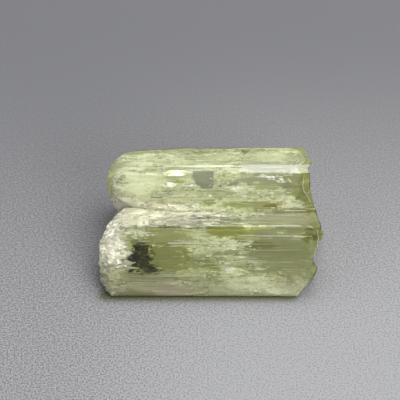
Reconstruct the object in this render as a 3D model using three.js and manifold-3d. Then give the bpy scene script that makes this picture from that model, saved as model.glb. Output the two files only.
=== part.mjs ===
// Hiddenite crystal: two long prisms of green spodumene that grew side by side, parallel, and
// fused along their whole length into one stone. It lies on its flat underside.
//
// Millimetres, +Z up. X runs along the prisms, from their etched, rounded tips (-X) to the broken
// end (+X). Y runs from the near, lower prism to the far, higher one. The origin is the middle of
// the footprint, on the surface that the stone lies on.

import * as THREE from "three";
import { mergeVertices } from "three/addons/utils/BufferGeometryUtils.js";
import { SimplexNoise } from "three/addons/math/SimplexNoise.js";
import Module from "manifold-3d";

// Driving dimensions.
const LENGTH = 30;
const DEPTH = 18.8;
const HEIGHT = 10.1;

// Growth ribs: fine straight ridges that run the whole length of every prism face.
const RIB_DEPTH = 0.09;

// Sections along a prism. They crowd towards both ends, where the shape changes most.
const SECTIONS = 22;

// The etched skin on the rounded tips: how high its lumps stand and how wide they are.
const ETCH_HEIGHT = 0.22;
const ETCH_WIDTH = 1.1;

// The broken end stands out furthest this far up the stone, and falls back from there in steps.
// Each pair is the distance up the slope from the near bottom edge, and the overhang lost there.
const BREAK_STEPS = [
  [0, 3.4],
  [1.3, 2.3],
  [2.7, 1.1],
  [3.8, 0.7],
  [4.9, 1.1],
  [6.5, 0.5],
  [8.6, 0],
  [11.5, 1.0],
  [13.8, 1.5],
  [16.7, 2.1],
  [18.4, 1.9],
  [19.8, 2.8],
];

// Shell-shaped hollows in the broken end, as [back, up, radius, bite]: where each is centred on the
// end, the radius of its curve, and how far it bites into the stone.
const BREAK_SHELLS = [
  [2.6, 1.6, 3.6, 0.6],
  [7.4, 2.6, 4.6, 0.7],
  [12.6, 3.2, 6.5, 0.9],
  [16.4, 6.4, 5.0, 0.7],
  [12.4, 7.6, 3.8, 0.5],
];

// Each prism's section, as corners [back, up, ribs] that go round with the stone on the left.
// ribs is how many growth ribs cross the face that starts at that corner, and 0 is a flat face.
// The prism's tip rounds over towards its core, and on the side that cutBack points to, it is cut
// back along a longer length. taper is the share that the section loses towards the tip.
const NEAR_PRISM = {
  corners: [
    [0.5, 0, 0],
    [8.9, 0, 0],
    [11.5, 2.0, 0],
    [11.5, 6.2, 0],
    [9.5, 6.5, 2],
    [8.3, 6.6, 0],
    [8.2, 6.95, 1],
    [7.1, 7.1, 0],
    [7.0, 7.4, 1],
    [5.8, 7.5, 8],
    [0.6, 3.0, 4],
    [0, 0.45, 0],
  ],
  core: [4.6, 2.6],
  tip: -15,
  roundOver: 2.2,
  cutBack: [Math.SQRT1_2, Math.SQRT1_2],
  cutLength: 7,
  taper: 0,
};

const FAR_PRISM = {
  corners: [
    [10.3, 0, 0],
    [17.6, 0, 2],
    [18.6, 1.5, 5],
    [DEPTH, 6.2, 3],
    [DEPTH, 9.5, 4],
    [15.0, HEIGHT, 0],
    [13.5, 9.95, 6],
    [9.6, 6.7, 0],
    [9.3, 5.6, 0],
    [8.8, 2.0, 0],
  ],
  core: [15.2, 6.4],
  tip: -13.8,
  roundOver: 4.6,
  cutBack: [-Math.SQRT1_2, -Math.SQRT1_2],
  cutLength: 12.5,
  taper: 0.08,
};

// The taper of a section begins this far along X and is whole from the second place on.
const TAPER_FROM = -2;
const TAPER_TO = -12;

// A small repeatable random source, so that the etched skin is the same every time.
function repeatableRandom(seed) {
  let state = seed;
  return {
    random() {
      state = (state * 16807) % 2147483647;
      return state / 2147483647;
    },
  };
}

const etchNoise = new SimplexNoise(repeatableRandom(41));

// The section as a THREE.Shape, with its ribs raised as shallow ridges between the corners.
function sectionShape(corners) {
  const points = [];
  corners.forEach(([back, up, ribs], i) => {
    const [nextBack, nextUp] = corners[(i + 1) % corners.length];
    const start = new THREE.Vector2(back, up);
    const along = new THREE.Vector2(nextBack - back, nextUp - up);
    const inward = new THREE.Vector2(-along.y, along.x).normalize();
    points.push(start);
    for (let step = 1; step < 2 * ribs; step++) {
      const sunk = step % 2 ? RIB_DEPTH : 0;
      const point = start.clone().addScaledVector(along, step / (2 * ribs));
      points.push(point.addScaledVector(inward, sunk));
    }
  });
  return new THREE.Shape(points);
}

// How far +X the stone reaches at a point of its section, before it breaks off.
function brokenEnd(back, up) {
  const height = (back + up) * Math.SQRT1_2;
  const last = BREAK_STEPS.length - 1;
  const above = BREAK_STEPS.findIndex(([level]) => level > height);
  const i = above < 0 ? last : Math.max(above, 1);
  const [low, lostLow] = BREAK_STEPS[i - 1];
  const [high, lostHigh] = BREAK_STEPS[i];
  const share = THREE.MathUtils.clamp((height - low) / (high - low), 0, 1);
  return LENGTH / 2 - THREE.MathUtils.lerp(lostLow, lostHigh, share);
}

// How much of the full section is left at x, where the tip rounds over to the core line.
function tipShare(x, back, up, { core, tip, roundOver, cutBack, cutLength, taper }) {
  const side = new THREE.Vector2(back - core[0], up - core[1]).normalize();
  const cut = THREE.MathUtils.smoothstep(side.dot(new THREE.Vector2(...cutBack)), 0.2, 1);
  const length = THREE.MathUtils.lerp(roundOver, cutLength, cut);
  const into = THREE.MathUtils.clamp((tip + length - x) / length, 0, 0.97);
  const tapered = 1 - THREE.MathUtils.smoothstep(x, TAPER_TO, TAPER_FROM);
  return Math.sqrt(1 - into ** 2.7) * (1 - taper * tapered);
}

// Grows one prism as a closed geometry: its section is swept along X in SECTIONS steps.
function prismGeometry(prism) {
  const { core, tip } = prism;
  const swept = new THREE.ExtrudeGeometry(sectionShape(prism.corners), {
    depth: 1,
    steps: SECTIONS,
    bevelEnabled: false,
  });
  swept.deleteAttribute("normal");
  swept.deleteAttribute("uv");
  const geometry = mergeVertices(swept, 1e-5);
  const position = geometry.getAttribute("position");
  for (let i = 0; i < position.count; i++) {
    const back = position.getX(i);
    const up = position.getY(i);
    const travel = (1 - Math.cos(Math.PI * position.getZ(i))) / 2;
    const x = THREE.MathUtils.lerp(tip, brokenEnd(back, up), travel);
    const share = tipShare(x, back, up, prism);
    const lump = etchNoise.noise3d(x / ETCH_WIDTH, back / ETCH_WIDTH, up / ETCH_WIDTH);
    const size = share - Math.abs(lump) * ETCH_HEIGHT * (1 - share);
    const y = core[0] + (back - core[0]) * size;
    const z = core[1] + (up - core[1]) * size;
    position.setXYZ(i, x, y, z);
  }
  return geometry;
}

// manifold-3d joins the two prisms where they grew through each other.
const wasm = await Module();
wasm.setup();

function solidFrom(geometry) {
  return new wasm.Manifold(
    new wasm.Mesh({
      numProp: 3,
      vertProperties: new Float32Array(geometry.getAttribute("position").array),
      triVerts: new Uint32Array(geometry.index.array),
    }),
  );
}

function geometryFrom(solid) {
  const { vertProperties, triVerts } = solid.getMesh();
  const geometry = new THREE.BufferGeometry();
  geometry.setAttribute("position", new THREE.BufferAttribute(vertProperties, 3));
  geometry.setIndex(new THREE.BufferAttribute(triVerts, 1));
  return geometry;
}

const nearPrism = solidFrom(prismGeometry(NEAR_PRISM));
const farPrism = solidFrom(prismGeometry(FAR_PRISM));

// One shell-shaped hollow: the ball that its curve belongs to, standing off the broken end.
function shellBall([back, up, radius, bite]) {
  const swept = new THREE.SphereGeometry(radius, 28, 18);
  swept.deleteAttribute("normal");
  swept.deleteAttribute("uv");
  const ball = mergeVertices(swept, 1e-5);
  ball.translate(brokenEnd(back, up) + radius - bite, back, up);
  return solidFrom(ball);
}

const joined = nearPrism.add(farPrism);
const broken = BREAK_SHELLS.reduce((stone, shell) => stone.subtract(shellBall(shell)), joined);
const crystalGeometry = geometryFrom(broken);

// The origin goes under the middle of the stone, at the height of its underside.
crystalGeometry.computeBoundingBox();
const { min, max } = crystalGeometry.boundingBox;
crystalGeometry.translate(-(min.x + max.x) / 2, -(min.y + max.y) / 2, -min.z);
crystalGeometry.computeVertexNormals();

const crystal = new THREE.Mesh(
  crystalGeometry,
  new THREE.MeshStandardMaterial({ color: 0xb9bf86, roughness: 0.35, metalness: 0 }),
);
crystal.name = "crystal";

const hiddenite = new THREE.Group();
hiddenite.name = "hiddenite";
hiddenite.add(crystal);

export default hiddenite;
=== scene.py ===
"""A loose hiddenite crystal: two long prisms of green spodumene, grown side by side into one stone.

It lies on its flat underside on plain paper. Everything is in metres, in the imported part's frame:
X runs along the prisms to the broken end, Y from the near, lower prism to the far, higher one.
"""

import math
import random

import bmesh
import bpy
from mathutils import Matrix, Vector, noise
from mathutils.bvhtree import BVHTree


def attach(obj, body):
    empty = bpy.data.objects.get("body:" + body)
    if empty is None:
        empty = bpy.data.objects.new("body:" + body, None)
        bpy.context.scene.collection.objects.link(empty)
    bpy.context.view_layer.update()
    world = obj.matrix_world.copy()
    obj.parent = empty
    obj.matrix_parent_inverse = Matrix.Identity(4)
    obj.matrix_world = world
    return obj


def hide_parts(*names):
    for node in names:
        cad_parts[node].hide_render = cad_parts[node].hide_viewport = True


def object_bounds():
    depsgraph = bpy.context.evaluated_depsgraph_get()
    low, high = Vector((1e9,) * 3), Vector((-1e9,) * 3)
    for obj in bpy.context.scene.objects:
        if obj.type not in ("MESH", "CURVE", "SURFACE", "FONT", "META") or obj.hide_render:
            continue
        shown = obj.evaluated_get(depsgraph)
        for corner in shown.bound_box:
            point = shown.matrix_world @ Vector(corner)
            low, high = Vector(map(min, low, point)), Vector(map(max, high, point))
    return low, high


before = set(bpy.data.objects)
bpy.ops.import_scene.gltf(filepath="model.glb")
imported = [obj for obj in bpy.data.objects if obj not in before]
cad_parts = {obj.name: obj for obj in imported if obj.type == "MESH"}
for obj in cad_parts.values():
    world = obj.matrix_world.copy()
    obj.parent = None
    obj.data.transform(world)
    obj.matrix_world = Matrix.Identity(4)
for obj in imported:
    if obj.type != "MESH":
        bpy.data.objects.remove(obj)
cad_low, cad_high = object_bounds()

# --------------------
# The stone: two prisms of spodumene that grew through each other. Their long faces are ribbed by
# growth, their tips are rounded and etched by the fluid they grew in, and the other end broke off.
# Each prism is one section swept along X, and the two are joined into one closed skin.

MM = 0.001
LENGTH = (cad_high.x - cad_low.x) / MM

# Each prism's section as [back, up] in mm from the near bottom edge of the footprint, the core that
# its tip rounds over to, where the tip starts along X and the length that it rounds over, the side on
# which it is cut back along a longer length, the share that it tapers by, and how etched the tip is.
NEAR_PRISM = {
    "corners": [
        (0.5, 0.0), (8.9, 0.0), (11.5, 2.0), (11.5, 6.2), (9.5, 6.5),
        (8.3, 6.6), (8.2, 6.95), (7.1, 7.1), (7.0, 7.4), (5.8, 7.5),
        (0.6, 3.0), (0.0, 0.45), (0.12, 0.08),
    ],
    "core": (4.6, 2.6),
    "tip": 0.35,
    "round_over": 2.0,
    "cut_back": (0.7, 0.7),
    "cut_length": 6.9,
    "taper": 0.0,
    "etched": 1.0,
}
FAR_PRISM = {
    "corners": [
        (10.3, 0.0), (17.6, 0.0), (18.6, 1.5), (18.8, 6.2), (18.8, 9.5),
        (15.0, 10.05), (13.5, 9.95), (9.6, 6.7), (9.3, 5.6), (8.8, 2.0),
    ],
    "core": (15.2, 6.4),
    "tip": 1.2,
    "round_over": 4.6,
    "cut_back": (-0.7, -0.7),
    "cut_length": 12.5,
    "taper": 0.08,
    "etched": 0.4,
}

# How far the broken end falls short of the furthest point, by height up the near slope, in mm.
BREAK_STEPS = [
    (0.0, 3.4), (1.3, 2.5), (2.6, 1.4), (3.8, 0.7), (5.1, 1.4), (7.7, 0.4),
    (8.6, 0.0), (10.0, 0.5), (11.6, 0.9), (13.6, 1.5), (16.1, 1.7), (17.1, 2.0),
    (17.9, 1.5), (18.6, 1.9), (19.2, 2.1), (19.8, 2.4),
]
# How finely the skin is swept: the pitch round its section in mm, its sections and its end's rings.
SKIN_SWEEP = (0.1, 110, 26)
WELD = 1e-4
SHARP_EDGE = math.radians(24)


def stretch(low, high, share):
    return low + (high - low) * share


def smooth(low, high, value):
    share = min(1.0, max(0.0, (value - low) / (high - low)))
    return share * share * (3 - 2 * share)


def slope_height(back, up):
    """How far up the near slope a point of a section lies, in mm."""
    return (back + up) * math.sqrt(0.5)


def broken_end(back, up):
    """How far along X the stone reaches at a point of its section, in mm from the tip end."""
    height = slope_height(back, up)
    for (low, lost_low), (high, lost_high) in zip(BREAK_STEPS, BREAK_STEPS[1:]):
        if height <= high:
            share = max(0.0, (height - low) / (high - low))
            return LENGTH - stretch(lost_low, lost_high, share)
    return LENGTH - BREAK_STEPS[-1][1]


def section_points(corners, pitch):
    points = []
    for start, end in zip(corners, corners[1:] + corners[:1]):
        count = max(2, round(math.dist(start, end) / pitch))
        for i in range(count):
            points.append(tuple(stretch(a, b, i / count) for a, b in zip(start, end)))
    return points


# The growth ribs and the steps of the opened cleavage, in mm.
TERRACES = 5.0
TERRACE_STEP = 0.03
FINE_RIB = 0.015
COARSE_BOX = 0.13
FINE_BOX = 0.07
COARSE_TOOTH = 0.22
FINE_TOOTH = 0.16
# The two polished places of the higher prism, the narrow mirror facet and the flat below it. Each
# border fades over a stretch, given as (from, to) in mm, along X or up the near slope.
MIRROR_START = (17.8, 19.3)
MIRROR_FOOT = (16.58, 16.68)
MIRROR_TOP = (17.8, 17.6)
FLAT_START = (12.2, 12.8)
FLAT_END = (16.0, 15.5)
FLAT_FOOT = (14.1, 14.5)
FLAT_TOP = (16.6, 16.5)
CREST = (16.6, 17.4)
CREST_POLISH = 0.6


def drawn_out(place, along, across, shift=0):
    """Where to read grain at [x, back, up], with along and across as its waves to the mm."""
    x, back, up = place
    return (x * along, back * across, up * across + shift)


def polish(x, back, up):
    """How smooth the skin is, from 0 to 1: the narrow top face of the higher prism is a mirror."""
    height = slope_height(back, up)
    mirror = smooth(*MIRROR_FOOT, height) * smooth(*MIRROR_TOP, height) * smooth(*MIRROR_START, x)
    flat = smooth(*FLAT_START, x) * smooth(*FLAT_END, x) * smooth(*FLAT_FOOT, height)
    return max(mirror, flat * smooth(*FLAT_TOP, height), CREST_POLISH * smooth(*CREST, height))


def ribs(*place):
    """Growth ribs in mm: low terraces with sharp sides, which run along a prism and die out on the way."""
    swell = noise.noise(drawn_out(place, 0.07, 1.9)) * TERRACES
    terrace = math.floor(swell) + smooth(0.1, 0.9, swell % 1.0)
    terrace *= smooth(-0.3, 0.4, noise.noise(drawn_out(place, 0.22, 1.1, 30)))
    fine = noise.noise(drawn_out(place, 0.12, 5.0)) * FINE_RIB
    return (terrace * TERRACE_STEP + fine) * (1 - polish(*place))


def cleaved(*place):
    """Steps in mm where etching opened the cleavage, so that the skin is made of small boxes."""
    coarse, fine = noise.cell(drawn_out(place, 1.1, 1.7)), noise.cell(drawn_out(place, 2.9, 4.1))
    return coarse * COARSE_BOX + fine * FINE_BOX


def splinters(back, up):
    """How far in mm the fibres of an etched tip fall short of each other, so that its edge has teeth."""
    coarse, fine = noise.cell((3.0, back * 1.3, up * 1.3)), noise.cell((7.0, back * 3.1, up * 3.1))
    return coarse * COARSE_TOOTH + fine * FINE_TOOTH


# The white frost of the lower tip, and of the ledge between the prisms, with borders as above.
FROST_WANDER = 2.4
TIP_FROST_END = (5.2, 2.2)
TIP_FROST_TOP = (11.4, 9.8)
TIP_FROST_FOOT = (3.4, 5.0)
FOOT_FROST = 0.3
LEDGE_END = (22.5, 9.0)
LEDGE_FOOT = (9.2, 9.7)
LEDGE_TOPS = (12.9, 13.8)
LEDGE_TOP_RISE = (7.0, 4.5)
LEDGE_TOP_FADE = 0.7
LEDGE_FROST = 0.8


def frost(x, back, up):
    """How far the skin is etched rough and white, from 0 to 1: at the lower tip and on the ledge."""
    height = slope_height(back, up)
    wander = noise.noise((x * 0.4, height * 1.4, 5.0)) * FROST_WANDER
    tip = smooth(*TIP_FROST_END, x + wander) * smooth(*TIP_FROST_TOP, height)
    tip *= stretch(FOOT_FROST, 1.0, smooth(*TIP_FROST_FOOT, height))
    top = stretch(*LEDGE_TOPS, smooth(*LEDGE_TOP_RISE, x))
    ledge = smooth(*LEDGE_FOOT, height) * smooth(top, top - LEDGE_TOP_FADE, height)
    ledge *= smooth(*LEDGE_END, x + wander * 2)
    return max(tip, ledge * LEDGE_FROST)


# How a prism departs from its plain section, in mm: its rounded tip, the lumps and splinters there,
# its taper, the hackle of its broken end and the sag of its top rim.
CUT_SIDE = (0.2, 1.0)
TIP_ROUNDNESS = 2.7
LEAST_RADIUS = 0.5
LUMP = 0.10
LUMPY = (6.0, 1.5)
SPLINTERED = (0.25, 0.6)
TAPERED = (13.0, 3.0)
HACKLE = 0.5
HACKLE_MIDDLE = 0.3
SAG = 0.13
SAG_START = (19.3, 17.5)
SAG_FOOT = (16.5, 17.5)
# What is left of a sealed sheet's depth near the rims and the ends, and how far it is drawn in from
# either end, all as shares of its depth.
RIM_DEPTH = 0.35
TOP_RIM = (18.9, 19.5)
BOTTOM_RIM = (1.8, 0.4)
END_DEPTH = 0.4
NEAR_END = (2.6, 0.8)
NEAR_TIP = (2.8, 0.8)
TIP_INSET = 0.3
END_INSET = 0.7


def tip_share(prism, x, back, up):
    """How far into its rounded tip a point of a prism is, from 0 to 1 at the very end."""
    side = (Vector((back, up)) - Vector(prism["core"])).normalized()
    cut = smooth(*CUT_SIDE, side.dot(Vector(prism["cut_back"])))
    length = stretch(prism["round_over"], prism["cut_length"], cut)
    return min(1.0, max(0.0, (prism["tip"] + length - x) / length))


def prism_point(prism, back, up, travel, depth):
    """A point of the prism: travel runs 0 to 1 along it and 1 to 2 across its broken end."""
    core_back, core_up = prism["core"]
    height = slope_height(back, up)
    depth *= stretch(1.0, RIM_DEPTH, max(smooth(*TOP_RIM, height), smooth(*BOTTOM_RIM, height)))
    inward = max(0.0, travel - 1.0)
    back, up = stretch(back, core_back, inward), stretch(up, core_up, inward)
    end = broken_end(back, up)
    x = stretch(prism["tip"], end, (1 - math.cos(math.pi * min(travel, 1.0))) / 2)
    near_ends = max(smooth(*NEAR_END, end - x), smooth(*NEAR_TIP, x - prism["tip"]))
    depth *= stretch(1.0, END_DEPTH, near_ends)
    into = tip_share(prism, x, back, up)
    x += depth * (TIP_INSET * smooth(1.0, 0.0, travel) - END_INSET * smooth(0.0, 1.0, travel))
    size = math.sqrt(1 - into**TIP_ROUNDNESS) * (1 - prism["taper"] * smooth(*TAPERED, x))
    radius = max(LEAST_RADIUS, math.dist((back, up), prism["core"]))
    place = (x, stretch(core_back, back, size), stretch(core_up, up, size))
    lumps = noise.turbulence(drawn_out(place, 0.9, 2.8), 4, False) * LUMP
    lumps *= prism["etched"] * smooth(*LUMPY, x - prism["tip"])
    relief = (ribs(*place) + lumps + cleaved(*place) * frost(*place)) * (1 - into**3)
    size *= 1 - (relief * (1 - inward) + depth) / radius
    x += lumps * into**3
    x += splinters(*place[1:]) * prism["etched"] ** 2 * smooth(*SPLINTERED, into)
    hackle = noise.turbulence(drawn_out((x, back, up), 0.1, 0.7), 2, True) * HACKLE
    x += (hackle - HACKLE_MIDDLE) * min(1.0, travel**20)
    back, up = stretch(core_back, back, size), stretch(core_up, up, size)
    sag = SAG * smooth(*SAG_START, x) * smooth(*SAG_FOOT, slope_height(back, up))
    return (x, back, up - sag)


def swept_prism(prism, pitch, sections, end_rings, depth):
    """A prism, or a sheet that lies a depth in mm under its skin, as one closed bmesh in its place."""
    bm = bmesh.new()
    ring = [bm.verts.new((0, back, up)) for back, up in section_points(prism["corners"], pitch)]
    edges = [bm.edges.new((a, b)) for a, b in zip(ring, ring[1:] + ring[:1])]
    steps = sections + end_rings
    bmesh.ops.spin(
        bm, geom=ring + edges, cent=(0, 0, 0), axis=(1, 0, 0), dvec=(1, 0, 0), angle=0, steps=steps
    )
    for vert in bm.verts:
        section, back, up = vert.co
        travel = section / sections if section <= sections else 1 + (section - sections) / end_rings
        vert.co = prism_point(prism, back, up, travel, depth)
    bmesh.ops.remove_doubles(bm, verts=bm.verts, dist=WELD)
    bmesh.ops.recalc_face_normals(bm, faces=bm.faces)
    if bm.calc_volume(signed=True) < 0:
        bmesh.ops.reverse_faces(bm, faces=bm.faces)
    place = Matrix.Translation(cad_low) @ Matrix.Scale(MM, 4)
    bmesh.ops.transform(bm, verts=bm.verts, matrix=place)
    return bm


def add_object(bm, name, material):
    mesh = bpy.data.meshes.new(name)
    bm.to_mesh(mesh)
    bm.free()
    mesh.materials.append(material)
    made = bpy.data.objects.new(name, mesh)
    bpy.context.scene.collection.objects.link(made)
    return made


def add_piece(bm, name, material):
    piece = add_object(bm, name, material)
    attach(piece, "root")
    return piece


def new_material(name):
    material = bpy.data.materials.new(name)
    material.use_nodes = True
    tree = material.node_tree
    return material, tree, tree.nodes["Principled BSDF"]


def fill(node, values):
    """Sets inputs of a node to plain values or to outputs in the same tree, which is its id_data."""
    for socket, value in dict(values).items():
        if isinstance(value, bpy.types.NodeSocket):
            node.id_data.links.new(value, node.inputs[socket])
        else:
            node.inputs[socket].default_value = value


def add_node(tree, kind, values=(), **settings):
    made = tree.nodes.new("ShaderNode" + kind)
    for name, value in settings.items():
        setattr(made, name, value)
    fill(made, values)
    return made


def compute(operation, *values):
    return add_node(values[0].id_data, "Math", enumerate(values), operation=operation).outputs[0]


def attribute(tree, name):
    return add_node(tree, "Attribute", attribute_name=name).outputs["Fac"]


def begin_grain(name, start_values):
    """Starts a node group for grain drawn out along X: its tree, its inputs and the scaled place."""
    group = bpy.data.node_groups.new(name, "ShaderNodeTree")
    for socket_name, start_value in start_values.items():
        made = group.interface.new_socket(socket_name, in_out="INPUT", socket_type="NodeSocketFloat")
        made.default_value = start_value
    inputs = group.nodes.new("NodeGroupInput").outputs
    place = add_node(group, "TexCoord").outputs["Object"]
    scale = {"X": inputs["Along"], "Y": inputs["Across"], "Z": inputs["Across"]}
    scale = add_node(group, "CombineXYZ", scale).outputs[0]
    return group, inputs, add_node(group, "VectorMath", {0: place, 1: scale}, operation="MULTIPLY").outputs[0]


def end_grain(group, name, value):
    group.interface.new_socket(name, in_out="OUTPUT", socket_type="NodeSocketFloat")
    group.links.new(value, group.nodes.new("NodeGroupOutput").inputs[name])


def place_grain(tree, group, values):
    made = tree.nodes.new("ShaderNodeGroup")
    made.node_tree = group
    fill(made, values)
    return made.outputs[0]


# Growth streaks: noise drawn out along the prisms, which every finish of the stone is broken up by.
streaks, inputs, scaled = begin_grain(
    "growth streaks", {"Along": 200.0, "Across": 3000.0, "Shift": 0.0, "Detail": 3.0}
)
noise_values = {"Vector": scaled, "W": inputs["Shift"], "Scale": 1.0, "Roughness": 0.6}
streak_noise = add_node(streaks, "TexNoise", noise_values, noise_dimensions="4D")
fill(streak_noise, {"Detail": inputs["Detail"]})
end_grain(streaks, "Streak", streak_noise.outputs["Fac"])


def streak(tree, along, across, shift, detail=3.0):
    """Growth streaks in a material: along and across are how many go to the metre."""
    return place_grain(tree, streaks, {"Along": along, "Across": across, "Shift": shift, "Detail": detail})


def spread(value, low, high, to_low=0.0, to_high=1.0):
    """Maps low..high of a value to a new range, softly, and holds it there."""
    values = {"Value": value, "From Min": low, "From Max": high, "To Min": to_low, "To Max": to_high}
    return add_node(value.id_data, "MapRange", values, interpolation_type="SMOOTHSTEP").outputs["Result"]


# How strongly the stone bends light, the colour that it lets through, how fast it absorbs the rest,
# the depth in metres of the ribs too fine to model, and how rough frost makes the skin. The skin is
# torn, and so a little frosted, where it meets the broken end.
SPODUMENE_IOR = 1.66
GREEN = (0.83, 0.885, 0.14, 1)
ABSORPTION = 75
RIB_DEPTH = 0.00004
FROST_ROUGHNESS = 0.18
TORN_BORDER = (0.9, 0.3)
TORN_FROST = 0.6

skin_material, tree, shader = new_material("clear green spodumene")
fine_ribs = compute("MULTIPLY", streak(tree, 70, 4200, 1.0), attribute(tree, "unpolished"))
bump = add_node(tree, "Bump", {"Strength": 0.3, "Distance": RIB_DEPTH, "Height": fine_ribs})
satin = spread(streak(tree, 60, 4000, 2.0), 0.45, 0.65, 0.02, 0.07)
rough = compute("MULTIPLY_ADD", attribute(tree, "frost"), FROST_ROUGHNESS, satin)
shader.inputs["IOR"].default_value = SPODUMENE_IOR
shader.inputs["Transmission Weight"].default_value = 1.0
fill(shader, {"Base Color": (1, 1, 1, 1), "Roughness": rough, "Normal": bump.outputs["Normal"]})
absorb = add_node(tree, "VolumeAbsorption", {"Color": GREEN, "Density": ABSORPTION})
fill(tree.nodes["Material Output"], {"Volume": absorb.outputs["Volume"]})

stone = add_piece(swept_prism(NEAR_PRISM, *SKIN_SWEEP, 0), "stone", skin_material)
far_prism = add_piece(swept_prism(FAR_PRISM, *SKIN_SWEEP, 0), "far", skin_material)
join = stone.modifiers.new("grown together", "BOOLEAN")
join.operation = "UNION"
join.solver = "MANIFOLD"
join.object = far_prism
bpy.context.view_layer.update()
skin = bpy.data.meshes.new_from_object(stone.evaluated_get(bpy.context.evaluated_depsgraph_get()))
stone.modifiers.clear()
stone.data = skin
bpy.data.objects.remove(far_prism)
skin.set_sharp_from_angle(angle=SHARP_EDGE)
frost_layer = skin.attributes.new("frost", "FLOAT", "POINT")
unpolished_layer = skin.attributes.new("unpolished", "FLOAT", "POINT")
for vertex in skin.vertices:
    place = (vertex.co - cad_low) / MM
    torn_off = smooth(*TORN_BORDER, broken_end(place.y, place.z) - place.x)
    frost_layer.data[vertex.index].value = max(frost(*place), TORN_FROST * torn_off)
    unpolished_layer.data[vertex.index].value = 1 - polish(*place)
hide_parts("crystal")

# --------------------
# Milky veils: sheets of fine healed cracks and fluid bubbles that follow the prism faces, one just
# under the skin where it is etched and one deeper. Clear windows are torn in them along X.

# Each band of the near slope as (height up it in mm, milk, hue). Milk runs from 0, clear, to 1, white;
# hue from -1, grey, through 0, yellow green, to 1, olive. Low on the slope the milk is raised as painted
# light, for the glow that the lower face gets from light through the stone.
MILK_AND_LIGHT_BANDS = [
    (0.0, 0.60, 0.0),
    (0.9, 0.68, 0.0),
    (1.8, 0.80, 0.0),
    (2.6, 0.46, 0.0),
    (3.4, 0.45, 0.2),
    (7.2, 0.46, 0.2),
    (9.3, 0.48, 0.2),
    (9.5, 0.42, -0.1),
    (10.1, 0.42, -0.1),
    (10.6, 0.66, -0.1),
    (11.6, 0.88, 0.0),
    (12.8, 0.94, 0.1),
    (14.0, 0.88, 0.1),
    (16.4, 0.82, 0.1),
    (17.1, 0.90, 0.0),
    (18.2, 0.76, 0.1),
    (18.9, 0.60, 0.2),
    (19.4, 0.48, 0.2),
    (20.0, 0.42, 0.3),
]
# Clouds on top of the bands: (middle along X, half length, height, half height, milk, grain), where
# grain is how strongly the cloud is broken up into crumbs. Some raise the milk, up to past 1, as painted
# light in places where shade falls: the crease between the tips, the groove of the ledge and the
# underside of the higher tip.
CLOUDS_AND_LIT_PATCHES = [
    (5.6, 4.0, 14.9, 2.4, 1.02, 0.7),
    (2.4, 1.4, 18.2, 1.4, 0.5, 0.5),
    (1.3, 0.8, 15.4, 2.8, 0.6, 0.4),
    (3.1, 0.7, 15.6, 0.8, 0.46, 1.6),
    (7.8, 4.0, 16.7, 0.25, 0.46, 1.2),
    (10.2, 3.0, 17.15, 0.3, 0.66, 1.1),
    (6.2, 3.6, 19.4, 0.4, 0.34, 0.8),
    (10.5, 4.0, 14.0, 0.9, 0.84, 1.3),
    (22.0, 5.5, 13.4, 0.9, 0.76, 1.0),
    (16.5, 2.0, 13.6, 0.7, 0.66, 1.0),
    (17.6, 1.5, 14.5, 0.4, 0.88, 1.4),
    (19.4, 0.5, 13.5, 0.6, 0.8, 1.2),
    (16.3, 0.8, 15.3, 0.9, 0.62, 1.4),
    (23.6, 2.6, 18.5, 0.9, 0.8, 0.4),
    (26.7, 1.5, 18.6, 0.9, 0.5, 1.3),
    (18.5, 4.0, 18.3, 0.8, 0.72, 0.5),
    (7.5, 4.6, 18.5, 0.5, 0.88, 1.5),
    (20.0, 1.2, 18.2, 0.9, 0.64, 0.8),
    (14.0, 1.2, 18.2, 0.4, 0.62, 0.8),
    (3.2, 4.5, 11.0, 1.9, 0.88, 1.2),
    (12.4, 3.6, 12.1, 0.45, 1.1, 1.0),
    (13.5, 3.8, 10.1, 0.5, 0.4, 1.4),
    (22.5, 6.0, 11.1, 0.8, 0.8, 1.4),
    (25.5, 4.5, 9.7, 0.6, 0.26, 1.2),
    (6.6, 2.4, 10.0, 0.6, 0.78, 1.3),
    (15.4, 2.4, 1.2, 0.9, 0.44, 0.8),
    (13.4, 1.6, 6.0, 2.8, 0.72, 1.1),
    (1.0, 3.2, 7.4, 2.9, 0.92, 0.7),
    (1.5, 3.4, 2.4, 2.6, 0.56, 0.8),
    (5.2, 2.4, 8.7, 0.6, 0.72, 1.3),
    (3.2, 0.9, 6.6, 0.6, 0.92, 0.5),
    (16.8, 3.4, 7.2, 0.8, 0.84, 1.3),
    (17.9, 2.2, 5.0, 0.7, 0.66, 1.2),
    (17.6, 1.5, 3.5, 0.6, 0.82, 1.4),
    (13.6, 2.2, 4.6, 0.9, 0.34, 0.6),
    (13.2, 2.0, 3.2, 0.35, 0.6, 0.8),
    (20.4, 3.6, 2.0, 0.8, 0.98, 0.9),
    (25.6, 2.6, 0.7, 0.7, 0.9, 0.9),
    (2.8, 1.6, 12.7, 0.9, 1.0, 0.4),
    (15.0, 3.2, 11.9, 0.55, 1.14, 0.9),
]
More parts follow.
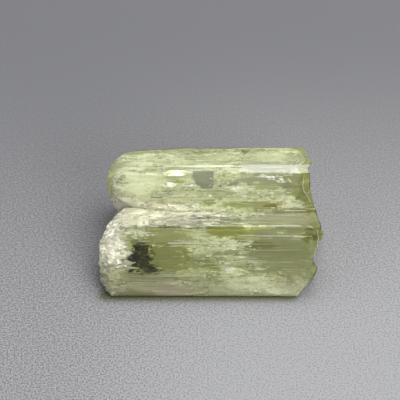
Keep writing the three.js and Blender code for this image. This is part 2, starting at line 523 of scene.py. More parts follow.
# Windows torn in the veils: (middle along X, half length, height, half height, milk, hue).
WINDOWS = [
    (9.3, 2.9, 5.3, 1.9, 0.13, 0.4),
    (9.4, 2.7, 8.3, 0.8, 0.35, 0.4),
    (17.6, 2.5, 8.75, 0.65, 0.22, 0.9),
    (21.9, 2.2, 8.6, 0.7, 0.38, 0.6),
    (24.9, 4.3, 5.8, 3.1, 0.24, -0.2),
    (21.4, 1.8, 6.9, 0.5, 0.04, 0.2),
    (15.0, 0.9, 4.1, 0.4, 0.16, 0.5),
    # The next two grey windows, low on the near face, are a painted reflection of the paper in front.
    (6.8, 3.0, 2.9, 0.7, 0.4, -0.4),
    (7.2, 4.6, 1.1, 1.0, 0.6, -0.3),
    (16.0, 1.5, 1.0, 0.6, 0.6, 0.1),
    (28.4, 1.3, 8.2, 0.8, -0.1, 0.7),
    (20.6, 3.6, 12.3, 0.5, 0.38, 0.4),
    (26.0, 4.2, 10.6, 1.1, 0.36, 0.3),
    (14.2, 0.9, 15.5, 0.6, 0.3, -0.9),
    (6.0, 1.6, 5.0, 1.9, 0.1, 0.5),
    (6.0, 1.5, 7.3, 0.5, 0.16, 0.5),
    (14.6, 0.9, 12.5, 0.4, 0.46, 0.4),
    (3.2, 3.8, 0.35, 0.7, 0.22, 0.1),
    (1.4, 0.5, 15.6, 2.4, 0.84, 0.5),
    (23.4, 4.6, 17.2, 0.5, 0.58, -1.0),
    (23.6, 4.6, 15.7, 0.9, 0.42, -0.6),
    (26.4, 2.0, 15.1, 1.2, 0.36, -0.3),
    (22.3, 1.8, 14.8, 0.5, 0.46, 0.2),
    (26.2, 1.4, 9.0, 0.6, 0.2, 0.1),
    (27.3, 1.5, 13.8, 0.9, 0.36, 0.4),
    (18.6, 0.9, 15.0, 0.3, 0.3, -0.5),
    (10.6, 1.3, 15.4, 0.25, 0.5, 0.5),
]
# Faint pink on the lower face, a painted reflection of the paper in front, and a pink patch on the ledge, in
# the same terms.
PINK_TINTS_AND_REFLECTIONS = [
    (9.5, 3.0, 1.1, 0.7, 0.9),
    (25.5, 2.0, 1.6, 0.7, 0.6),
    (25.0, 4.0, 10.8, 1.2, 0.5),
    (1.5, 3.0, 1.8, 2.0, 0.5),
]
# How far the borders of clouds and windows wander, in mm, and the shares of a patch that they fade over.
WANDER_ALONG = 0.9
WANDER_UP = 0.3
CLOUD_BORDER = (0.3, 0.7)
WINDOW_BORDER = (0.3, 0.5)
# The stone is clear for a little way in from its broken end, but not at its foot and less at its
# crest. It is olive there, more so up the slope, and clearest at one height.
END_CLEAR = 1.2
END_CLEAR_FOOT = (1.5, 3.2)
END_CLEAR_CREST = (17.2, 18.0)
CREST_SHARE = 0.8
END_HUES = (0.1, 0.6)
END_HUE_RISE = (7.0, 11.0)
END_MILK = 0.24
CLEAREST_HEIGHT = 8.8
BACK_MILK = 0.6
VEIL_LAYERS = ("milk", "hue", "grain", "window", "clear", "pink_tint_and_reflection", "frost")


def within(patch, x, height):
    """1 at the middle of a patch, 0.5 at its border and 0 as far outside again."""
    middle, half, rise, half_rise = patch
    off = math.hypot((x - middle) / half, (height - rise) / half_rise)
    return min(1.0, max(0.0, 1 - off / 2))


def cloudiness(x, back, up):
    """What the veils are like at a point, as a value for each of VEIL_LAYERS but the frost."""
    height = slope_height(back, up)
    milk, hue = MILK_AND_LIGHT_BANDS[-1][1:]
    for (low, *at_low), (high, *at_high) in zip(MILK_AND_LIGHT_BANDS, MILK_AND_LIGHT_BANDS[1:]):
        if height <= high:
            milk, hue = (stretch(a, b, smooth(low, high, height)) for a, b in zip(at_low, at_high))
            break
    end = broken_end(back, up)
    x += noise.noise((x * 0.5, height * 1.5, 3.0)) * WANDER_ALONG
    height += noise.noise((x * 0.6, height * 1.5, 13.0)) * WANDER_UP
    grain, window, clear = 1.0, 0.0, 0.3
    for *patch, cloud_milk, cloud_grain in CLOUDS_AND_LIT_PATCHES:
        share = smooth(*CLOUD_BORDER, within(patch, x, height))
        milk, grain = stretch(milk, cloud_milk, share), stretch(grain, cloud_grain, share)
    for *patch, window_milk, window_hue in WINDOWS:
        share = within(patch, x, height)
        window = max(window, share)
        share = smooth(*WINDOW_BORDER, share)
        clear, hue = stretch(clear, window_milk, share), stretch(hue, window_hue, share)
    above_foot = smooth(*END_CLEAR_FOOT, height)
    reach = END_CLEAR * above_foot * stretch(1.0, CREST_SHARE, smooth(*END_CLEAR_CREST, height))
    at_end = smooth(reach + 0.6, reach - 0.2, end - x) * above_foot
    end_hue = stretch(*END_HUES, smooth(*END_HUE_RISE, height))
    end_milk = END_MILK - 0.25 * smooth(1.8, 0.6, abs(height - CLEAREST_HEIGHT))
    end_milk += noise.noise((x * 1.5, height * 1.3, 33.0)) * 0.25
    window, hue, clear = max(window, at_end), stretch(hue, end_hue, at_end), stretch(clear, end_milk, at_end)
    pink_tint_and_reflection = max(within(patch, x, height) * strength for *patch, strength in PINK_TINTS_AND_REFLECTIONS)
    grain *= stretch(0.5, 1.3, smooth(-0.35, 0.35, noise.noise((x * 0.3, height * 0.9, 23.0))))
    return milk, hue, grain, window, clear, pink_tint_and_reflection


def add_up(first, second):
    return compute("ADD", first, second)


def weighed(*parts):
    """The sum of values that lie around 0.5, each given with its weight, brought to around 0."""
    total = -sum(weight for _, weight in parts) / 2
    for value, weight in parts:
        total = compute("MULTIPLY_ADD", value, weight, total)
    return total


def blend_colours(share, first, second, **settings):
    made = add_node(share.id_data, "Mix", {0: share}, data_type="RGBA", **settings)
    for socket, value in ((6, first), (7, second)):
        fill(made, {socket: value if isinstance(value, bpy.types.NodeSocket) else (*value, 1)})
    return made.outputs[2]


def colour_scale(value, stops):
    """A colour for a value, from evenly spaced stops over 0 to 1."""
    made = add_node(value.id_data, "ValToRGB", {"Fac": value})
    elements = made.color_ramp.elements
    while len(elements) < len(stops):
        elements.new(0.5)
    for i, (element, colour) in enumerate(zip(elements, stops)):
        element.position = i / (len(stops) - 1)
        element.color = (*colour, 1)
    return made.outputs["Color"]


# Cleavage blocks: the stone splits into long blocks, so crumbs and torn edges are made of small boxes.
blocks, inputs, scaled = begin_grain("cleavage blocks", {"Along": 900.0, "Across": 2200.0, "Shift": 0.0})
block_values = {"Vector": scaled, "W": inputs["Shift"], "Scale": 1.0, "Randomness": 0.9}
block_cells = add_node(blocks, "TexVoronoi", block_values, voronoi_dimensions="4D", distance="CHEBYCHEV")
block_value = add_node(blocks, "SeparateColor", {0: block_cells.outputs["Color"]}).outputs["Red"]
end_grain(blocks, "Block", block_value)


def block(tree, along, across, shift):
    """Cleavage blocks in a material: along and across are how many go to the metre."""
    return place_grain(tree, blocks, {"Along": along, "Across": across, "Shift": shift})


# The frost is a crust that is white at the very tip and a little green from a few mm in, in metres.
CRUST_COLOURS = [
    (0.26, 0.25, 0.14),
    (0.42, 0.40, 0.26),
    (0.60, 0.58, 0.43),
    (0.80, 0.78, 0.61),
    (0.97, 0.95, 0.78),
]
CRUST_TINT = (0.95, 0.96, 0.87)
TINT_START = 0.0025
TINT_FULL = 0.0050
frost_material, tree, shader = new_material("white etched spodumene")
torn = weighed((streak(tree, 500, 1800, 40.0, 5.0), 1.4), (block(tree, 1400, 3000, 4.0), 0.5))
torn = spread(add_up(attribute(tree, "frost"), torn), 0.3, 0.7)
crust = weighed(
    (streak(tree, 380, 2200, 44.0, 5.0), 0.65),
    (streak(tree, 200, 4200, 47.0, 2.0), 0.6),
    (block(tree, 800, 2800, 6.0), 0.25),
    (block(tree, 2600, 5500, 9.0), 0.15),
)
crust = colour_scale(add_up(attribute(tree, "milk"), crust), CRUST_COLOURS)
from_tip = add_node(tree, "SeparateXYZ", {0: add_node(tree, "TexCoord").outputs["Object"]}).outputs["X"]
from_tip = spread(from_tip, cad_low.x + TINT_START, cad_low.x + TINT_FULL)
crust = blend_colours(from_tip, crust, CRUST_TINT, blend_type="MULTIPLY")
fill(shader, {"Base Color": crust, "Roughness": 0.7, "Alpha": torn})

# The deep veil is breccia: crumbs between clear windows with torn borders, crossed by fine lines: pale
# threads, and dark lines that are painted shade of the growth ribs.
MILK_COLOURS = [
    (0.225, 0.235, 0.05),
    (0.35, 0.364, 0.16),
    (0.515, 0.536, 0.29),
    (0.71, 0.739, 0.46),
    (0.96, 0.98, 0.74),
]
OLIVE_FILTER = (1.0, 1.0, 0.42)
GREY = (0.36, 0.37, 0.33)
PINK = (0.55, 0.45, 0.34)
RIB_SHADE_PAINT = (0.34, 0.35, 0.15)
THREAD = (0.95, 0.96, 0.66)
deep_material, tree, shader = new_material("deep milky veil")
lines = streak(tree, 160, 4400, 85.0, 2.0)
crumbs = weighed(
    (streak(tree, 330, 1900, 80.0, 5.0), 1.0),
    (lines, 0.8),
    (block(tree, 1000, 2800, 3.0), 0.40),
    (block(tree, 2800, 5200, 7.0), 0.40),
)
crumbs = compute("MULTIPLY_ADD", crumbs, attribute(tree, "grain"), attribute(tree, "milk"))
still = weighed((streak(tree, 320, 900, 90.0, 3.0), 0.35), (lines, 0.22))
clear = colour_scale(add_up(attribute(tree, "clear"), still), MILK_COLOURS)
torn = weighed((streak(tree, 500, 2400, 100.0, 5.0), 0.8), (block(tree, 1200, 2600, 11.0), 0.3), (lines, 0.3))
opened = spread(add_up(attribute(tree, "window"), torn), 0.47, 0.53)
body = blend_colours(opened, colour_scale(crumbs, MILK_COLOURS), clear)
olive = spread(attribute(tree, "hue"), 0.0, 1.0)
body = blend_colours(olive, body, OLIVE_FILTER, blend_type="MULTIPLY")
for share, colour in (
    (spread(attribute(tree, "hue"), 0.0, -1.0, 0.0, 0.5), GREY),
    # painted reflection: the pink of the paper mirrored in the lower face, and a pink patch on the ledge
    (spread(attribute(tree, "pink_tint_and_reflection"), 0.1, 0.9, 0.0, 0.8), PINK),
    # painted shade: dark lines for the shade of the growth ribs
    (spread(streak(tree, 130, 4200, 87.0, 2.0), 0.60, 0.68, 0.0, 0.45), RIB_SHADE_PAINT),
    (spread(streak(tree, 170, 5000, 93.0, 2.0), 0.62, 0.70, 0.0, 0.6), THREAD),
):
    body = blend_colours(share, body, colour)
fill(shader, {"Base Color": body, "Roughness": 0.5, "Subsurface Weight": 0.2})
fill(shader, {"Subsurface Radius": (1.0, 1.0, 0.5), "Subsurface Scale": 0.0015})

# How finely the veils are swept, and how a side that faces away from the near slope fades to even.
VEIL_SWEEP = (0.15, 140, 12)
FACING_AWAY = (-0.2, -0.5)
LEAST_FROST = 0.02
for name, depth, veil_material in (("frost_veil", 0.05, frost_material), ("milky_veil", 0.45, deep_material)):
    for side, prism in (("near", NEAR_PRISM), ("far", FAR_PRISM)):
        bm = swept_prism(prism, *VEIL_SWEEP, depth)
        layers = [bm.verts.layers.float.new(layer) for layer in VEIL_LAYERS]
        for vert in bm.verts:
            place = (vert.co - cad_low) / MM
            outward = Vector((place.y, place.z)) - Vector(prism["core"])
            away = smooth(*FACING_AWAY, (outward.y - outward.x) / max(0.1, outward.length))
            seen = (*cloudiness(*place), frost(*place))
            behind = (BACK_MILK, 0.0, 1.0, 0.0, 0.0, 0.0, seen[-1])
            for layer, level, back_level in zip(layers, seen, behind):
                vert[layer] = stretch(level, back_level, away)
        if name == "frost_veil":
            bare = [f for f in bm.faces if max(v[layers[-1]] for v in f.verts) < LEAST_FROST]
            bmesh.ops.delete(bm, geom=bare, context="FACES")
        add_piece(bm, f"{side}_{name}", veil_material)

# --------------------
# Open flakes: crumbs of spodumene that cleaved loose inside the stone and hold a film of air, so that
# they shine white. Each is a thin blocky plate, and they lie in swarms along the prism faces.

# The directions up the near slope and into the stone, and how far out, in mm, the search for the skin
# starts, how far under it the search for the back starts, and the room left behind a sealed thing.
SLOPE_UP = Vector((0, math.sqrt(0.5), math.sqrt(0.5)))
SLOPE_IN = Vector((0, math.sqrt(0.5), -math.sqrt(0.5)))
OUTSIDE = 20
UNDER_SKIN = 0.01
ROOM_BEHIND = 0.3
bm = bmesh.new()
bm.from_mesh(skin)
skin_tree = BVHTree.FromBMesh(bm)
bm.free()


def sealed_place(x, height, depth):
    """The point a depth under the near skin, at x along the stone and a height up its slope, or None."""
    outside = cad_low + (Vector((x, 0, 0)) + SLOPE_UP * height - SLOPE_IN * OUTSIDE) * MM
    on_skin = skin_tree.ray_cast(outside, SLOPE_IN)[0]
    if on_skin is None:
        return None
    room = skin_tree.ray_cast(on_skin + SLOPE_IN * UNDER_SKIN * MM, SLOPE_IN)[3]
    if room is None or room < (depth + ROOM_BEHIND) * MM:
        return None
    return on_skin + SLOPE_IN * depth * MM


def two_tone(name, grain, dark, light, roughness, border=(0.35, 0.65)):
    """A material that goes from dark to light with growth streaks, given as what streak takes."""
    material, tree, shader = new_material(name)
    colour = blend_colours(spread(streak(tree, *grain), *border), dark, light)
    fill(shader, {"Base Color": colour, "Roughness": roughness})
    return material, tree, shader


# Each swarm: (middle along X, half length, height, half height, flakes, size of a flake), in mm.
FLAKE_SWARMS = [
    (10.3, 1.4, 16.45, 0.24, 64, 1.00),
    (9.7, 0.6, 14.90, 0.24, 34, 0.70),
    (12.2, 1.2, 14.80, 0.10, 10, 0.60),
    (18.2, 1.1, 14.45, 0.30, 54, 0.60),
    (19.5, 0.4, 13.40, 0.50, 16, 0.35),
    (15.8, 0.8, 15.30, 0.90, 40, 0.28),
    (22.0, 0.5, 16.30, 0.20, 8, 0.35),
    (25.4, 0.5, 16.20, 0.10, 6, 0.35),
    (24.5, 0.8, 15.40, 0.20, 10, 0.35),
    (17.0, 2.6, 6.60, 0.60, 46, 0.40),
    (17.6, 0.9, 3.60, 0.40, 36, 0.40),
    (19.5, 0.8, 1.90, 0.20, 14, 0.40),
    (5.2, 1.7, 8.50, 0.50, 34, 0.32),
    (12.0, 1.4, 12.10, 0.40, 24, 0.45),
    (12.5, 3.5, 13.60, 0.50, 36, 0.40),
    (22.7, 0.9, 15.95, 0.45, 30, 0.26),
    (24.9, 0.9, 15.60, 0.45, 26, 0.28),
]
FLAKE_DEPTHS = (0.07, 0.15)
FLAKE_THICKNESS = 0.04
FLAKE_SLANT = math.radians(30)
RAGGED_CORNER = 0.08
flake_material, _, shader = two_tone(
    "open cleavage flakes", (900, 900, 120.0, 2.0), (0.74, 0.76, 0.46), (0.98, 0.98, 0.86), 0.3, (0.4, 0.6)
)
shader.inputs["Metallic"].default_value = 0.35

chance = random.Random(7)
bm = bmesh.new()
for middle, half, height, half_height, count, size in FLAKE_SWARMS:
    for _ in range(count):
        x = middle + half * chance.gauss(0, 0.5)
        rise = height + half_height * chance.gauss(0, 0.5)
        place = sealed_place(x, rise, chance.uniform(*FLAKE_DEPTHS))
        turn = Matrix.Rotation(chance.gauss(0, 0.15), 4, "X") @ Matrix.Rotation(chance.gauss(0, 0.12), 4, "Y")
        slant = Matrix.Rotation(FLAKE_SLANT, 4, "X")
        length, width = size * chance.uniform(0.4, 1.5), size * chance.uniform(0.15, 0.45)
        plate = Vector((length, width, FLAKE_THICKNESS)) * MM
        if place is None:
            continue
        lay = Matrix.Translation(place) @ slant @ turn @ Matrix.Diagonal((*plate, 1))
        made = bmesh.ops.create_cube(bm, size=1, matrix=lay)
        for vert in made["verts"]:
            vert.co += Vector([chance.uniform(-RAGGED_CORNER, RAGGED_CORNER) * size * MM for _ in range(3)])
add_piece(bm, "open_flakes", flake_material)

# --------------------
# Cleavage crumbs: blocky scraps of the veils, which lie loose just over them wherever they are broken
# up. Each is a thin box of spodumene, a little more or less milky than the veil that it came from.

# How many crumbs are tried, where they may lie and how far they reach, in mm. They keep off windows
# and off the cleavage plane of the higher prism, which stays bare.
CRUMBS = 3600
CRUMB_ALONG = (0.8, 28.2)
CRUMB_HEIGHTS = (0.5, 18.9)
CRUMB_DEPTHS = (0.14, 0.40)
CRUMB_THICKNESS = 0.03
REACH_UP = 0.4
REACH_ALONG = 0.6
BARE_ALONG = (12.3, 15.8)
BARE_HEIGHTS = (14.2, 17.0)
MOST_WINDOW = 0.30
CRUMB_SHARE = 0.8


def sealed_lay(x, height, depth):
    """The place under the near skin and the turn that lays a plate along it there, or None."""
    middle = sealed_place(x, height, depth)
    above, below = (sealed_place(x, height + step, depth) for step in (REACH_UP, -REACH_UP))
    left, right = (sealed_place(x + step, height, depth) for step in (-REACH_ALONG, REACH_ALONG))
    if None in (middle, above, below, left, right):
        return None
    along = (right - left).normalized()
    outward = along.cross(above - below).normalized()
    if outward.dot(SLOPE_IN) > -0.5:
        return None
    turn = Matrix((along, outward.cross(along), outward)).transposed()
    return Matrix.Translation(middle) @ turn.to_4x4()


crumb_material, tree, shader = new_material("milky cleavage crumbs")
crumb_tone = weighed((streak(tree, 700, 3000, 130.0, 2.0), 0.4))
crumb_tone = colour_scale(add_up(attribute(tree, "milk"), crumb_tone), MILK_COLOURS)
fill(shader, {"Base Color": crumb_tone, "Roughness": 0.5})
bm = bmesh.new()
tone_layer = bm.verts.layers.float.new("milk")
for _ in range(CRUMBS):
    x, rise = chance.uniform(*CRUMB_ALONG), chance.uniform(*CRUMB_HEIGHTS)
    depth = chance.uniform(*CRUMB_DEPTHS)
    length, width = chance.uniform(0.35, 0.95) ** 2, chance.uniform(0.25, 0.55) ** 2
    crumb = Vector((length, width, CRUMB_THICKNESS)) * MM
    turn = Matrix.Rotation(chance.gauss(0, 0.12), 4, "X") @ Matrix.Rotation(chance.gauss(0, 0.08), 4, "Z")
    luck, tone = chance.random(), chance.gauss(0.06, 0.2)
    lay = sealed_lay(x, rise, depth)
    bare = BARE_ALONG[0] < x < BARE_ALONG[1] and BARE_HEIGHTS[0] < rise < BARE_HEIGHTS[1]
    if lay is None or bare:
        continue
    milk, _, grain, window, _, _ = cloudiness(*(lay.translation - cad_low) / MM)
    if window > MOST_WINDOW or luck > CRUMB_SHARE * grain:
        continue
    made = bmesh.ops.create_cube(bm, size=1, matrix=lay @ turn @ Matrix.Diagonal((*crumb, 1)))
    for vert in made["verts"]:
        vert[tone_layer] = milk + tone
add_piece(bm, "cleavage_crumbs", crumb_material)

# --------------------
# Growth tubes: hollow needles that run along the prisms, as bright threads, with pale rods as painted
# glints on the edges of the broken end's steps, and dark brown tubes as painted shade of the growth
# ribs. A few hundred more are as thin as hair, a little brighter or darker than the veils.

# Each tube: (start and end along X, height up the near slope, depth, radius), in mm.
BRIGHT_TUBES = [
    (12.9, 17.2, 14.36, 0.11, 0.08),
    (10.9, 12.9, 14.90, 0.10, 0.09),
    (16.8, 21.6, 12.85, 0.12, 0.06),
    (7.1, 11.6, 13.12, 0.12, 0.06),
    (9.5, 16.5, 12.32, 0.12, 0.04),
    (13.0, 18.2, 18.22, 0.10, 0.04),
    (8.4, 11.4, 13.95, 0.12, 0.05),
    (14.3, 21.2, 9.50, 0.12, 0.08),
    (9.3, 19.2, 7.22, 0.12, 0.08),
    (19.9, 22.3, 4.70, 0.20, 0.04),
    (12.3, 14.2, 8.50, 0.20, 0.04),
    (20.0, 24.5, 7.10, 0.20, 0.03),
    (20.5, 27.0, 6.30, 0.20, 0.03),
    (23.9, 27.9, 12.10, 0.12, 0.09),
    (24.8, 27.7, 11.55, 0.12, 0.08),
    (12.0, 19.4, 17.42, 0.10, 0.05),
    (11.6, 19.4, 16.92, 0.10, 0.04),
    (3.9, 9.0, 2.75, 0.14, 0.04),
    (5.0, 10.5, 2.35, 0.14, 0.03),
]
# Where steps of the broken end meet the near face, a pale rod paints the glint of the edge: each edge as (x,
# height) points.
FRACTURE_GLINTS = [
    [(27.45, 16.2), (27.26, 14.75), (27.5, 14.0), (27.9, 13.45), (28.3, 12.7)],
    [(28.8, 10.1), (29.15, 9.0), (29.3, 7.83), (29.1, 6.73), (28.7, 5.55)],
    [(28.9, 4.4), (28.85, 3.3), (28.4, 2.4)],
]
GLINT_DEPTH = 0.06
GLINT_RADIUS = 0.032
# Dark brown tubes, painted shade of the growth ribs, given in the same terms.
RIB_SHADE_TUBES = [
    (3.7, 10.5, 3.25, 0.14, 0.05),
    (3.5, 14.5, 2.70, 0.12, 0.06),
    (2.8, 13.5, 2.22, 0.12, 0.06),
    (6.0, 12.5, 1.55, 0.14, 0.04),
    (4.2, 9.0, 0.90, 0.14, 0.03),
    (7.0, 11.6, 13.30, 0.12, 0.06),
    (6.9, 11.0, 13.75, 0.12, 0.05),
    (8.5, 12.6, 14.15, 0.12, 0.04),
    (5.0, 12.0, 12.60, 0.12, 0.05),
    (13.4, 16.8, 14.12, 0.12, 0.05),
    (12.5, 17.5, 18.00, 0.10, 0.04),
    (10.5, 15.5, 18.62, 0.10, 0.04),
    (15.5, 20.5, 17.72, 0.10, 0.03),
    (3.8, 9.8, 17.42, 0.10, 0.04),
    (9.6, 18.0, 7.02, 0.12, 0.04),
    (3.5, 9.5, 9.60, 0.15, 0.05),
]
# A stained crack across the higher prism meets its faces in a fine line, as (x, height) from and to.
CRACK_EDGES = [((19.25, 18.6), (19.22, 17.7)), ((19.15, 16.4), (19.10, 15.7))]
CRACK_DEPTH = 0.1
CRACK_RADIUS = 0.03


def add_tube(bm, start, end, radius, taper=0.3):
    """A thin tube between two points of the stone, as its vertices."""
    along = end - start
    lay = Matrix.Translation((start + end) / 2) @ along.to_track_quat("Z", "Y").to_matrix().to_4x4()
    sizes = {"radius1": radius * MM, "radius2": radius * taper * MM, "depth": along.length}
    return bmesh.ops.create_cone(bm, cap_ends=True, segments=6, matrix=lay, **sizes)["verts"]


def add_level_tube(bm, start, end, height, depth, radius):
    places = [sealed_place(x, height, depth) for x in (start, end)]
    if None not in places:
        add_tube(bm, *places, radius)


tube_and_glint_material, _, _ = two_tone(
    "hollow growth tubes and painted glints", (400, 400, 140.0, 2.0), (0.80, 0.82, 0.58), (0.98, 0.98, 0.86), 0.3
)
bm = bmesh.new()
for tube in BRIGHT_TUBES:
    add_level_tube(bm, *tube)
# Painted glints: pale rods along the edges of the broken end's steps.
for edge in FRACTURE_GLINTS:
    corners = [sealed_place(x, height, GLINT_DEPTH) for x, height in edge]
    for start, end in zip(corners, corners[1:]):
        if start and end:
            add_tube(bm, start, end, GLINT_RADIUS, 1.0)
add_piece(bm, "growth_tubes_and_painted_glints", tube_and_glint_material)

# Painted shade: dark lines that stand for the shade of the growth ribs, and the stained crack's edges.
rib_shade_and_crack_material, _, _ = two_tone(
    "painted rib shade and crack lines", (500, 500, 150.0, 2.0), (0.26, 0.24, 0.12), (0.45, 0.43, 0.24), 0.8
)
bm = bmesh.new()
for tube in RIB_SHADE_TUBES:
    add_level_tube(bm, *tube)
for crack_edge in CRACK_EDGES:
    add_tube(bm, *(sealed_place(*point, CRACK_DEPTH) for point in crack_edge), CRACK_RADIUS, 1.0)
add_piece(bm, "rib_shade_and_crack_lines", rib_shade_and_crack_material)

# The threads and where they may lie, in mm. None crosses the dark inclusion or the cleavage plane.
THREADS = 420
THREAD_ALONG = (1.5, 27.5)
THREAD_LAST = 28.4
THREAD_HEIGHTS = (0.4, 18.9)
THREAD_RADII = (0.015, 0.045)
THREAD_DEPTHS = (0.10, 0.35)
DARK_END = 8.3
DARK_HEIGHTS = (3.0, 7.2)
bm = bmesh.new()
tone_layer = bm.verts.layers.float.new("milk")
for _ in range(THREADS):
    x, rise = chance.uniform(*THREAD_ALONG), chance.uniform(*THREAD_HEIGHTS)
    length = chance.uniform(0.7, 2.3) ** 2
    radius, depth = chance.uniform(*THREAD_RADII), chance.uniform(*THREAD_DEPTHS)
    tone = chance.gauss(0.05, 0.26)
    ends = [sealed_place(place_x, rise, depth) for place_x in (x, min(THREAD_LAST, x + length))]
    over_dark = x < DARK_END and DARK_HEIGHTS[0] < rise < DARK_HEIGHTS[1]
    over_plane = x < BARE_ALONG[1] and BARE_HEIGHTS[0] < rise < BARE_HEIGHTS[1]
    if None in ends or over_dark or over_plane:
        continue
    milk, _, grain, window, clear, _ = cloudiness(*((ends[0] + ends[1]) / 2 - cad_low) / MM)
    tone = clear + tone * 0.7 if window > 0.5 else milk + tone
    for vert in add_tube(bm, *ends, radius):
        vert[tone_layer] = tone
add_piece(bm, "growth_threads", crumb_material)

# --------------------
# Dark inclusion: a ragged dark scale under the near skin of the lower prism, in a fringe of dark specks,
# with a splinter of pale spodumene across it.

# A plate is cut into cells of this size in mm, and a cut passes through corners that are this near.
PLATE_PITCH = 0.12
CUT_SNAP = 0.01


def sealed_plate(outline, depth, thickness, ragged):
    """A thin plate under the near skin, from its outline of (x, height up the slope) points in mm."""
    bm = bmesh.new()
    corners = [bm.verts.new((x, height, 0)) for x, height in outline]
    sheet = bmesh.ops.contextual_create(bm, geom=corners)["faces"]
    bmesh.ops.triangulate(bm, faces=sheet)
    for axis, normal in enumerate(((1, 0, 0), (0, 1, 0))):
        low, high = (side(point[axis] for point in outline) for side in (min, max))
        for cut in range(1, math.ceil((high - low) / PLATE_PITCH)):
            place = Vector(normal) * (low + cut * PLATE_PITCH)
            geometry = bm.verts[:] + bm.edges[:] + bm.faces[:]
            bmesh.ops.bisect_plane(bm, geom=geometry, plane_co=place, plane_no=normal, dist=CUT_SNAP)
    unplaced = []
    for vert in bm.verts:
        x, height, _ = vert.co
        x += noise.noise((x * 2.0, height * 6.0, depth)) * ragged * 2
        height += noise.noise((x * 3.0, height * 3.0, depth + 5)) * ragged
        place = sealed_place(x, height, depth)
        if place is None:
            unplaced.append(vert)
        else:
            vert.co = place
    bmesh.ops.delete(bm, geom=unplaced, context="VERTS")
    back = bmesh.ops.extrude_face_region(bm, geom=bm.faces[:], use_keep_orig=True)["geom"]
    back = [part for part in back if isinstance(part, bmesh.types.BMVert)]
    bmesh.ops.translate(bm, verts=back, vec=SLOPE_IN * thickness * MM)
    bmesh.ops.recalc_face_normals(bm, faces=bm.faces)
    return bm


DARK_COLOURS = [
    (0.008, 0.008, 0.001),
    (0.016, 0.016, 0.001),
    (0.045, 0.045, 0.005),
    (0.11, 0.11, 0.02),
    (0.24, 0.24, 0.06),
]
DARK_OUTLINE = [
    (4.6, 6.9), (5.3, 7.1), (6.0, 6.9), (6.8, 7.0), (6.7, 6.2), (6.6, 5.7), (7.3, 5.1),
    (6.8, 4.7), (7.3, 4.2), (8.1, 3.7), (7.8, 3.4), (6.7, 3.2), (4.0, 3.3), (5.4, 3.8),
    (5.5, 4.0), (4.6, 4.3), (3.9, 4.8), (4.0, 5.4), (4.6, 5.9), (5.0, 6.3),
]
dark_material, tree, shader = new_material("dark scale")
scales = weighed((streak(tree, 900, 2500, 160.0, 4.0), 1.6), (block(tree, 1800, 3200, 9.0), 0.4))
scales = colour_scale(add_up(scales, 0.35), DARK_COLOURS)
fill(shader, {"Base Color": scales, "Roughness": 0.7})
add_piece(sealed_plate(DARK_OUTLINE, 0.34, 0.05, 0.06), "dark_inclusion", dark_material)

FRINGE_OUTLINE = [
    (4.2, 6.2), (4.9, 7.3), (6.9, 7.4), (7.4, 6.2), (8.0, 4.9), (8.8, 3.8), (8.4, 3.1),
    (4.2, 3.0), (3.6, 4.6),
]
speck_material, tree, shader = new_material("scattered dark specks")
specks = weighed((streak(tree, 1500, 4000, 165.0, 4.0), 1.6), (block(tree, 2400, 4200, 13.0), 0.5))
speck_colour = colour_scale(add_up(specks, 0.5), DARK_COLOURS)
fill(shader, {"Base Color": speck_colour, "Roughness": 0.7, "Alpha": spread(specks, 0.10, 0.22)})
add_piece(sealed_plate(FRINGE_OUTLINE, 0.30, 0.02, 0.10), "dark_fringe", speck_material)

SPLINTER_MILK = 0.6
SPLINTER_OUTLINE = [(2.6, 4.1), (4.2, 4.15), (5.6, 3.95), (5.2, 3.8), (2.9, 3.8)]
bm = sealed_plate(SPLINTER_OUTLINE, 0.28, 0.05, 0.05)
tone_layer = bm.verts.layers.float.new("milk")
for vert in bm.verts:
    vert[tone_layer] = SPLINTER_MILK
add_piece(bm, "pale_splinter", crumb_material)

# --------------------
# Fracture shades: behind the steps of the broken end, the stone is cracked through, and looks deep
# olive. Each is a torn sheet just under the near skin.

LOW_SHADE = [(27.4, 9.1), (28.8, 9.2), (29.2, 8.5), (29.1, 7.0), (28.7, 7.2), (28.5, 7.9), (27.6, 8.3)]
HIGH_SHADE = [(27.0, 14.8), (27.3, 14.6), (28.1, 13.2), (27.6, 12.95), (26.2, 13.0), (26.8, 13.8)]
shade_material, tree, shader = two_tone(
    "olive depth of the broken end", (700, 1600, 190.0, 4.0), (0.15, 0.16, 0.02), (0.32, 0.34, 0.10), 0.6
)
fill(shader, {"Alpha": spread(streak(tree, 500, 1500, 195.0, 4.0), 0.32, 0.50)})
add_piece(sealed_plate(LOW_SHADE, 0.10, 0.03, 0.12), "low_fracture_shade", shade_material)
add_piece(sealed_plate(HIGH_SHADE, 0.10, 0.03, 0.12), "high_fracture_shade", shade_material)

# --------------------
# Stains: iron oxide that soaked in from the ledge has left a brown patch, and a crack that crosses
# the top rim of the higher prism has gone dark. Both are thin sheets that follow the near skin.

STAIN_OUTLINE = [(21.8, 12.1), (22.4, 12.4), (23.6, 12.4), (23.9, 12.1), (23.3, 11.8), (22.2, 11.7)]
CRACK_OUTLINE = [(19.0, 19.6), (20.4, 19.6), (20.1, 19.35), (19.5, 19.1), (19.2, 18.7)]
stain_material, tree, shader = two_tone(
    "iron stain", (900, 1800, 170.0, 4.0), (0.22, 0.18, 0.04), (0.40, 0.34, 0.12), 0.7
)
fill(shader, {"Alpha": spread(streak(tree, 500, 1500, 175.0, 4.0), 0.30, 0.52)})
add_piece(sealed_plate(STAIN_OUTLINE, 0.30, 0.03, 0.05), "brown_stain", stain_material)
add_piece(sealed_plate(CRACK_OUTLINE, 0.12, 0.02, 0.04), "stained_crack", shade_material)

# --------------------
# Cleavage plane: the higher prism has started to split along a flat plane under its polished face,
# which looks plain grey where no crumbs lie over it.

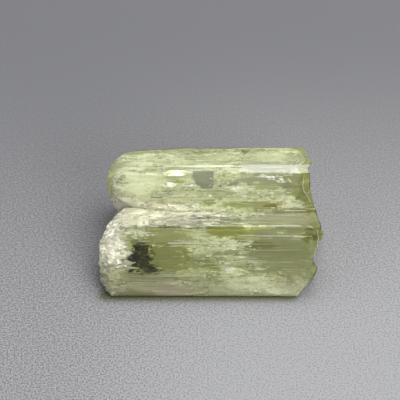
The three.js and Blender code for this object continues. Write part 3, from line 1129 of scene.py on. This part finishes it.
CLEAVAGE_OUTLINE = [(12.6, 16.75), (15.4, 16.75), (15.3, 14.45), (13.9, 14.45), (13.1, 15.2), (12.65, 16.0)]
cleavage_material, _, _ = two_tone(
    "cleavage plane", (300, 1800, 180.0, 2.0), (0.31, 0.33, 0.22), (0.41, 0.43, 0.285), 0.6
)
add_piece(sealed_plate(CLEAVAGE_OUTLINE, 0.26, 0.03, 0.04), "cleavage_plane", cleavage_material)

# --------------------
# The paper that the stone lies on: a plain grey sheet, with fine fibres. Its colour holds painted light:
# it is painted paler towards the front and darker towards the left front, and a painted green shadow
# lies along the stone's near edge, for the shade there and the light that comes through the stone.

PAPER_HALF = 1.5
FAR_GREY = (0.102, 0.102, 0.108)
NEAR_GREY = (0.236, 0.236, 0.240)
PAINTED_GREEN_SHADOW = (0.37, 0.39, 0.13)
PAINTED_SHADOW_STRENGTH = 0.95
paper_material, tree, shader = new_material("grey paper")
place_node = add_node(tree, "TexCoord").outputs["Object"]
across = add_node(tree, "SeparateXYZ", {0: place_node}).outputs
# Painted light: the paper's grey is painted paler towards the front, and painted shade makes it darker
# towards the left front.
nearness = spread(across["Y"], 0.045, -0.03)
painted_left_shade = compute("MULTIPLY", spread(across["X"], 0.006, -0.024, 0.0, 0.5), nearness)
fibres = add_node(tree, "TexNoise", {"Vector": place_node, "Scale": 4200.0, "Detail": 2.0}).outputs["Fac"]
fibres = compute("MULTIPLY", spread(fibres, 0.3, 0.7, -0.7, 0.7), nearness)
tone = compute("SUBTRACT", add_up(nearness, fibres), painted_left_shade)
tone = blend_colours(tone, FAR_GREY, NEAR_GREY)
# Painted shadow: near the stone's near edge the paper's colour is darkened and tinted green, for the contact
# shade and the light that comes through the stone.
shadowed_edge_span = {"Value": across["X"], "Min": cad_low.x + 0.0012, "Max": cad_high.x - 0.0045}
off_end = compute("SUBTRACT", across["X"], add_node(tree, "Clamp", shadowed_edge_span).outputs[0])
off_edge = compute("SUBTRACT", across["Y"], cad_low.y + 0.0004)
off_edge = add_node(tree, "CombineXYZ", {"X": off_end, "Y": off_edge}).outputs[0]
off_edge = add_node(tree, "VectorMath", {0: off_edge}, operation="LENGTH").outputs["Value"]
edge_shadow_paint = spread(off_edge, 0.0017, 0.0003, 0.0, PAINTED_SHADOW_STRENGTH)
tone = blend_colours(edge_shadow_paint, tone, PAINTED_GREEN_SHADOW, blend_type="MULTIPLY")
fill(shader, {"Base Color": tone, "Roughness": 0.8})
bm = bmesh.new()
bmesh.ops.create_grid(bm, x_segments=1, y_segments=1, size=PAPER_HALF)
add_object(bm, "paper", paper_material)

# --------------------
# Studio light and camera: soft daylight from the room, brighter from the far side, and three soft
# boxes. The camera looks down on the near slope at 45 degrees, through a long lens.

DAYLIGHT = (0.93, 0.95, 1.0, 1)
scene = bpy.context.scene
world = bpy.data.worlds.new("studio")
scene.world = world
world.use_nodes = True
tree = world.node_tree
toward = add_node(tree, "TexCoord").outputs["Generated"]
toward = add_node(tree, "SeparateXYZ", {0: toward}).outputs["Y"]
daylight = {"Color": DAYLIGHT, "Strength": spread(toward, -0.5, 0.5, 0.15, 0.7)}
fill(tree.nodes["Background"], daylight)


def softbox(name, place, size, power):
    light = bpy.data.lights.new(name, "AREA")
    light.shape = "RECTANGLE"
    light.size, light.size_y = size
    light.energy = power
    lamp = bpy.data.objects.new(name, light)
    lamp.location = place
    lamp.rotation_euler = (-Vector(place)).to_track_quat("-Z", "Y").to_euler()
    scene.collection.objects.link(lamp)


softbox("top softbox", (0.16, 0.12, 0.44), (0.62, 0.46), 3.6)
softbox("front softbox", (0.22, -0.27, 0.17), (0.26, 0.26), 1.5)
softbox("left softbox", (-0.36, -0.04, 0.14), (0.50, 0.50), 0.9)

TILT = math.radians(45)
REACH = 0.90
AIM_SHIFT = Vector((-0.0014, 0.00193, 0.00193))
camera_data = bpy.data.cameras.new("camera")
camera_data.lens = 608
camera_data.sensor_width = 36
camera_data.clip_start = 0.01
camera = bpy.data.objects.new("camera", camera_data)
camera.location = (cad_low + cad_high) / 2 + AIM_SHIFT + Vector((0, -math.cos(TILT), math.sin(TILT))) * REACH
camera.rotation_euler = (math.radians(90) - TILT, 0, 0)
scene.collection.objects.link(camera)
scene.camera = camera

scene.view_settings.view_transform = "Standard"
scene.cycles.transparent_max_bounces = 48
scene.cycles.diffuse_bounces = 12
scene.cycles.max_bounces = 24
scene.cycles.transmission_bounces = 24
scene.cycles.sample_clamp_indirect = 4
